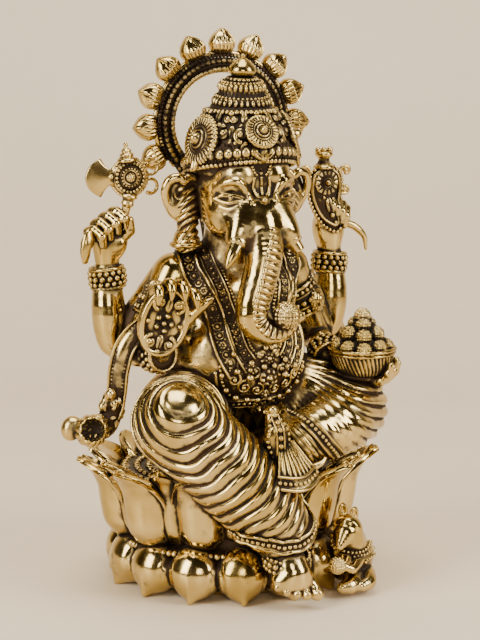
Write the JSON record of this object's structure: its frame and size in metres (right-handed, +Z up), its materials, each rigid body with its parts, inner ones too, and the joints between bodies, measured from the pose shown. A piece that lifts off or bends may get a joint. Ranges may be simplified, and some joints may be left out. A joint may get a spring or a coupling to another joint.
{
  "type": "figurine",
  "caption": "Seated elephant-headed, four-armed deity figure cast in antique brass, on a lotus base with a petal halo, tall crown, bowl of sweets and a small mouse at its foot.",
  "frame": {"origin": "on the resting plane, under the middle of the lotus base", "axes": "+Z up, -Y the figure's front, +X the figure's own left"},
  "size_m": [0.1, 0.0817, 0.157],
  "materials": {
    "polished_brass": "hand-polished high spots with dark patina left in the recesses",
    "antique_brass": "fine cast ornament with dark brown patina in its recesses and rubbed tips",
    "dark_brass": "unpolished brass under a dark brown patina"
  },
  "bodies": {
    "root": {"lotus_core": "antique_brass", "torso": "polished_brass", "head": "polished_brass", "trunk": "polished_brass", "right_leg_dhoti": "polished_brass", "left_leg_dhoti": "polished_brass", "right_foot": "polished_brass", "left_foot": "polished_brass", "front_right_arm": "polished_brass", "front_left_arm": "polished_brass", "rear_right_arm": "polished_brass", "rear_left_arm": "polished_brass", "axe": "antique_brass", "noose_emblem": "antique_brass", "sweet_bowl": "antique_brass", "sweet_heap": "antique_brass", "rear_right_hand": "polished_brass", "rear_left_hand": "polished_brass", "blessing_hand": "polished_brass", "palm_medallion": "antique_brass", "offering_hand": "polished_brass", "right_ear": "polished_brass", "left_ear": "polished_brass", "right_tusk": "polished_brass", "left_broken_tusk": "polished_brass", "trunk_sweet": "antique_brass", "crown_body": "antique_brass", "crown_band": "antique_brass", "crown_tiers": "antique_brass", "crown_finial": "polished_brass", "crown_front_rosette": "antique_brass", "crown_right_rosette": "antique_brass", "crown_left_rosette": "antique_brass", "halo_ring": "dark_brass", "halo_petals": "polished_brass", "halo_stem": "dark_brass", "waist_belt": "antique_brass", "belly_ornament": "antique_brass", "outer_garland": "antique_brass", "inner_garland": "antique_brass", "front_tassel": "antique_brass", "front_sash_fan": "antique_brass", "right_hem_band": "antique_brass", "left_hem_band": "antique_brass", "right_anklet": "antique_brass", "right_armlet": "antique_brass", "left_armlet": "antique_brass", "rear_right_bracelet": "antique_brass", "rear_left_bracelet": "antique_brass", "front_right_bracelet": "antique_brass", "front_left_bracelet": "antique_brass", "right_shawl": "antique_brass", "left_shawl": "antique_brass", "mouse": "polished_brass", "mouse_tail": "polished_brass", "mouse_sweet": "polished_brass", "lower_petals": "polished_brass", "upper_petals": "polished_brass"}
  },
  "joints": []
}
